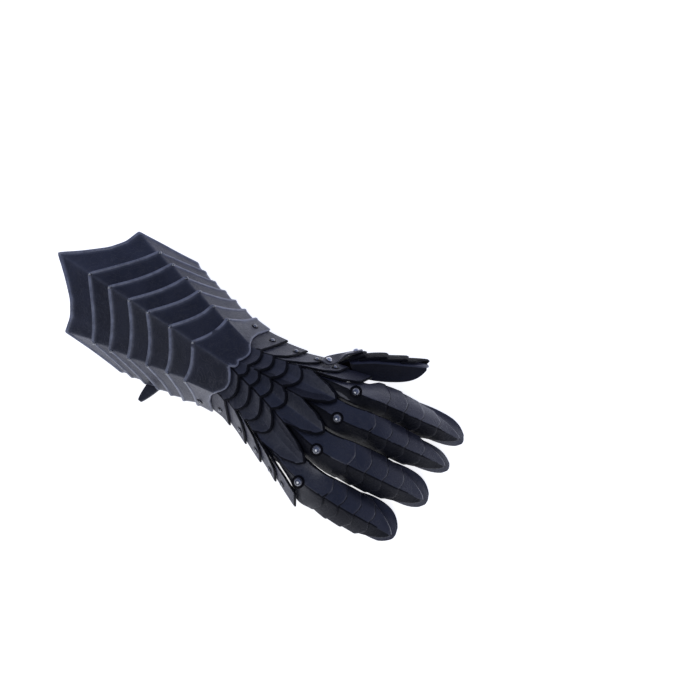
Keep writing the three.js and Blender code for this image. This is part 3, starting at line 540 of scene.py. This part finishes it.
smallRivets = {
    "sideRadius": 0.0026,
    "sideHeight": 0.0022,
    "knobRadius": 0.0018,
    "knobHeight": 0.0015,
    "washerHeight": 0.0009,
    "washerReach": 1.55,   # of the head's own radius
    "setBack": 3.4,        # from a cuff corner toward the hand, millimetres
    "nearAcross": -56,
    "farAcross": 50,
    "nearHeart": 25,       # rises that the heads look away from
    "farHeart": 22,
    "knobHeart": 20,
    "castFrom": 0.02,      # metres outside the guess
    "castReach": 0.06,
    "sides": 16,
    "sink": 0.00012,
    "unevenness": 0.06,
    "seed": 11,
}


def armPlace(along, across, rise):
    return (Vector((along, across * math.cos(rollTurn) - rise * math.sin(rollTurn),
                    across * math.sin(rollTurn) + rise * math.cos(rollTurn))) + gauntletShift) / 1000


def jointSkin(names):
    corners, faces = [], []
    for name in names:
        start = len(corners)
        corners += [vertex.co.copy() for vertex in pieces[name].data.vertices]
        faces += [[start + i for i in face.vertices] for face in pieces[name].data.polygons]
    return BVHTree.FromPolygons(corners, faces)


def onLeather(nodeName, guess, outFrom):
    skin = jointSkin([nodeName])
    outside = guess + (guess - outFrom).normalized() * smallRivets["castFrom"]
    spot, normal, _, _ = skin.ray_cast(outside, (outFrom - outside).normalized(), smallRivets["castReach"])
    if spot is None:
        spot, normal, _, _ = skin.find_nearest(guess)
    return spot, normal


def rivetGroup():
    tree = bpy.data.node_groups.new("rivetRow", "GeometryNodeTree")
    for label, kind in (("Spots", "Geometry"), ("Head", "Object"), ("Metal", "Material"),
                        ("Unevenness", "Float"), ("Seed", "Int")):
        tree.interface.new_socket(name=label, in_out="INPUT", socket_type=f"NodeSocket{kind}")
    tree.interface.new_socket(name="Rivets", in_out="OUTPUT", socket_type="NodeSocketGeometry")
    given = tree.nodes.new("NodeGroupInput")
    aim = addNode(tree, "GeometryNodeInputNamedAttribute", {"Name": "aim"}, data_type="FLOAT_VECTOR")
    turned = addNode(tree, "FunctionNodeAlignRotationToVector", {"Vector": aim.outputs["Attribute"]}, axis="Z")
    head = addNode(tree, "GeometryNodeObjectInfo", {"Object": given.outputs["Head"]})
    smaller = mathNode(tree, "SUBTRACT", 1.0, given.outputs["Unevenness"])
    size = addNode(tree, "FunctionNodeRandomValue", {2: smaller, 3: 1.0, "Seed": given.outputs["Seed"]},
                   data_type="FLOAT")
    placed = addNode(tree, "GeometryNodeInstanceOnPoints", {
        "Points": given.outputs["Spots"], "Instance": head.outputs["Geometry"],
        "Rotation": turned.outputs["Rotation"], "Scale": size.outputs[1]})
    real = addNode(tree, "GeometryNodeRealizeInstances", {"Geometry": placed.outputs["Instances"]})
    painted = addNode(tree, "GeometryNodeSetMaterial", {"Geometry": real.outputs[0],
                                                        "Material": given.outputs["Metal"]})
    result = tree.nodes.new("NodeGroupOutput")
    tree.links.new(painted.outputs[0], result.inputs["Rivets"])
    return tree


rivetTree = rivetGroup()


def rivetRow(name, spots, radius, height, metal):
    head = headPiece(f"{name}Head", headForm(radius, height, smallRivets["sides"]), Matrix(), metal)
    points = bpy.data.meshes.new(f"{name}Spots")
    points.from_pydata([spot - normal * smallRivets["sink"] for spot, normal in spots], [], [])
    aim = points.attributes.new("aim", "FLOAT_VECTOR", "POINT")
    aim.data.foreach_set("vector", [value for _, normal in spots for value in normal])
    row = bpy.data.objects.new(name, points)
    bpy.context.scene.collection.objects.link(row)
    maker = row.modifiers.new("rivetRow", "NODES")
    maker.node_group = rivetTree
    sockets = {item.name: item.identifier for item in rivetTree.interface.items_tree if item.in_out == "INPUT"}
    maker[sockets["Head"]] = head
    maker[sockets["Metal"]] = metal
    maker[sockets["Unevenness"]] = smallRivets["unevenness"]
    maker[sockets["Seed"]] = smallRivets["seed"]
    made = bpy.data.meshes.new_from_object(row.evaluated_get(bpy.context.evaluated_depsgraph_get()))
    row.modifiers.remove(maker)
    row.data = made
    made.name = name
    for face in made.polygons:
        face.use_smooth = True
    bpy.data.objects.remove(head)
    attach(row, "root")


def flapSpots(row):
    given = smallRivets
    yield onLeather(row["node"], armPlace(row["along"], given["nearAcross"], row["near"]),
                    armPlace(row["along"], 0, given["nearHeart"]))
    if row["farAlong"] is not None:
        yield onLeather(row["node"], armPlace(row["farAlong"], given["farAcross"], row["far"]),
                        armPlace(row["farAlong"], 0, given["farHeart"]))


def cornerSpots(row):
    peakAlong, along = row["peakAlong"] + smallRivets["setBack"], row["along"] + smallRivets["setBack"]
    for place, across, rise in ((peakAlong, 0, row["peak"]), (along, -row["across"], row["rise"]),
                                (along, row["across"], row["rise"])):
        yield onLeather(row["node"], armPlace(place, across, rise),
                        armPlace(place, 0, smallRivets["knobHeart"]))


sideSpots = [spot for row in sideRivets for spot in flapSpots(row)]
knobSpots = [spot for row in cornerKnobs for spot in cornerSpots(row)]
washerReach, washerHeight = smallRivets["washerReach"], smallRivets["washerHeight"]
rivetRow("side_washers", sideSpots, smallRivets["sideRadius"] * washerReach, washerHeight, blackIron)
rivetRow("knuckle_washers", [(middle, up) for middle, up, _ in seats],
         max(radius for _, _, radius in seats) * washerReach, washerHeight, blackIron)
rivetRow("side_rivets", sideSpots, smallRivets["sideRadius"], smallRivets["sideHeight"], gunmetal)
rivetRow("cuff_knobs", knobSpots, smallRivets["knobRadius"], smallRivets["knobHeight"], gunmetal)
print("small rivets set:", len(sideSpots), "and", len(knobSpots))

# soft lining just inside the hand lames, seen only as the dark behind their slits
handLining = {
    "alongFrom": 58,       # millimetres on the arm's axis
    "alongTo": 142,
    "alongStep": 2,
    "heartRise": 14,
    "turnTo": 82,          # degrees each way from straight up
    "turnStep": 2,
    "farthest": 0.062,     # metres
    "clear": 0.0007,
    "thick": 0.0006,
    "reach": 2,            # steps that a slit borrows its depth from
    "smoothing": 3,
}


def around(i, reach, count):
    return range(max(0, i - reach), min(count, i + reach + 1))


def softened(depth, choose, reach):
    rows, columns = len(depth), len(depth[0])
    return [[choose([depth[a][b] for a in around(i, reach, rows) for b in around(j, reach, columns)])
             for j in range(columns)] for i in range(rows)]


def mean(values):
    return sum(values) / len(values)


def liningDepth(hearts, ways):
    skin = jointSkin([f"hand_lame_{k}" for k in range(1, 6)] + [f"knuckle_{name}" for name in fingerNames])
    farthest = handLining["farthest"]
    casts = [[skin.ray_cast(heart, way, farthest)[3] for way in ways] for heart in hearts]
    depth = [[farthest if far is None else far for far in row] for row in casts]
    depth = softened(depth, min, handLining["reach"])
    for _ in range(handLining["smoothing"]):
        eased = softened(depth, mean, 1)
        depth = [[min(a, b) for a, b in zip(*pair)] for pair in zip(depth, eased)]
    return depth


def liningForm():
    given = handLining
    alongs = range(given["alongFrom"], given["alongTo"] + 1, given["alongStep"])
    turns = [math.radians(turn) for turn in range(-given["turnTo"], given["turnTo"] + 1, given["turnStep"])]
    hearts = [armPlace(along, 0, given["heartRise"]) for along in alongs]
    ways = [(armPlace(0, math.sin(turn), math.cos(turn)) - armPlace(0, 0, 0)).normalized() for turn in turns]
    depth = liningDepth(hearts, ways)
    form = bmesh.new()
    sheets = [[[form.verts.new(heart + way * (far - given["clear"] - under)) for way, far in zip(ways, row)]
               for heart, row in zip(hearts, depth)] for under in (0, given["thick"])]
    rows, columns = len(hearts), len(ways)
    for sheet in sheets:
        for i in range(rows - 1):
            for j in range(columns - 1):
                form.faces.new((sheet[i][j], sheet[i][j + 1], sheet[i + 1][j + 1], sheet[i + 1][j]))
    border = [(i, 0) for i in range(rows)] + [(rows - 1, j) for j in range(1, columns)]
    border += [(i, columns - 1) for i in range(rows - 2, -1, -1)] + [(0, j) for j in range(columns - 2, 0, -1)]
    for (i, j), (k, m) in zip(border, border[1:] + border[:1]):
        form.faces.new((sheets[0][i][j], sheets[0][k][m], sheets[1][k][m], sheets[1][i][j]))
    bmesh.ops.recalc_face_normals(form, faces=form.faces)
    return form


lining = headPiece("hand_lining", liningForm(), Matrix(), tongueLeather)
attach(lining, "root")
print("hand lining fitted")

# cast strap buckle with rounded bars
buckleShape = {"round": 0.0009, "segments": 4, "corner": 0.5}


def roundedBuckle():
    form = flatForm("cuff_buckle")
    corners = [edge for edge in form.edges if edge.calc_face_angle(0.0) > buckleShape["corner"]]
    bmesh.ops.bevel(form, geom=corners, offset=buckleShape["round"], segments=buckleShape["segments"],
                    profile=0.5, affect="EDGES", clamp_overlap=True)
    bmesh.ops.recalc_face_normals(form, faces=form.faces)
    return headPiece("strap_buckle", form, Matrix(), brightSteel)


buckle = roundedBuckle()
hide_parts("cuff_buckle")
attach(buckle, "root")
print("buckle rounded")

# plain bright table, dim sky and one soft lamp; lengths in metres
studio = {
    "floorHalf": 3.0,
    "floorTone": (0.95, 0.95, 0.95),
    "floorGlow": 0.80,
    "skyLow": (0.80, 0.80, 1.00),
    "skyHigh": (0.27, 0.33, 0.56),
    "skyRise": (0.05, 0.75),
    "skyFront": (0.10, 0.12, 0.20),
    "skyTurn": (-0.75, 0.15),
    "skyPower": 0.9,
    "keyPower": 6.0,
    "keySize": 0.9,
    "keyPlace": (0.25, -0.85, 1.2),
}
photoCamera = {
    "lens": 22.34,         # millimetres on a 36 mm wide frame
    "frame": 36,
    "clip": (0.01, 20),
    "place": (0.1823, -0.1065, 0.4253),
    "target": (0.0670, 0.0639, 0.0162),
}
bpy.context.scene.view_settings.view_transform = "Standard"


def layFloor():
    half = studio["floorHalf"]
    mesh = bpy.data.meshes.new("studioFloor")
    mesh.from_pydata([(-half, -half, 0), (half, -half, 0), (half, half, 0), (-half, half, 0)],
                     [], [(0, 1, 2, 3)])
    paint, _, surface = startMaterial("floorPaint")
    surface.inputs["Base Color"].default_value = (*studio["floorTone"], 1)
    surface.inputs["Roughness"].default_value = 1.0
    surface.inputs["Specular IOR Level"].default_value = 0.0
    surface.inputs["Emission Color"].default_value = (1, 1, 1, 1)
    surface.inputs["Emission Strength"].default_value = studio["floorGlow"]
    mesh.materials.append(paint)
    floor = bpy.data.objects.new("studioFloor", mesh)
    bpy.context.scene.collection.objects.link(floor)


def lightSky():
    world = bpy.data.worlds.new("studioSky")
    bpy.context.scene.world = world
    world.use_nodes = True
    sky = world.node_tree
    way = addNode(sky, "ShaderNodeSeparateXYZ", {0: addNode(sky, "ShaderNodeTexCoord").outputs["Generated"]})
    rise = fadeNode(sky, way.outputs["Z"], *studio["skyRise"])
    tone = mixColour(sky, rise, studio["skyLow"], studio["skyHigh"])
    # the near wall is darker than the one across the table
    turn = fadeNode(sky, way.outputs["Y"], *studio["skyTurn"])
    tone = mixColour(sky, turn, studio["skyFront"], tone)
    sky.links.new(tone, sky.nodes["Background"].inputs["Color"])
    sky.nodes["Background"].inputs["Strength"].default_value = studio["skyPower"]


def aimed(name, data, place, target):
    holder = bpy.data.objects.new(name, data)
    holder.location = Vector(place)
    holder.rotation_mode = "QUATERNION"
    holder.rotation_quaternion = (Vector(target) - Vector(place)).to_track_quat("-Z", "Y")
    bpy.context.scene.collection.objects.link(holder)
    return holder


layFloor()
lightSky()
lamp = bpy.data.lights.new("keyLight", "AREA")
lamp.size = studio["keySize"]
lamp.energy = studio["keyPower"]
aimed("keyLight", lamp, studio["keyPlace"], (0, 0, 0))

camera = bpy.data.cameras.new("productCamera")
camera.lens = photoCamera["lens"]
camera.sensor_width = photoCamera["frame"]
camera.clip_start, camera.clip_end = photoCamera["clip"]
bpy.context.scene.camera = aimed("productCamera", camera, photoCamera["place"], photoCamera["target"])
print("studio set")
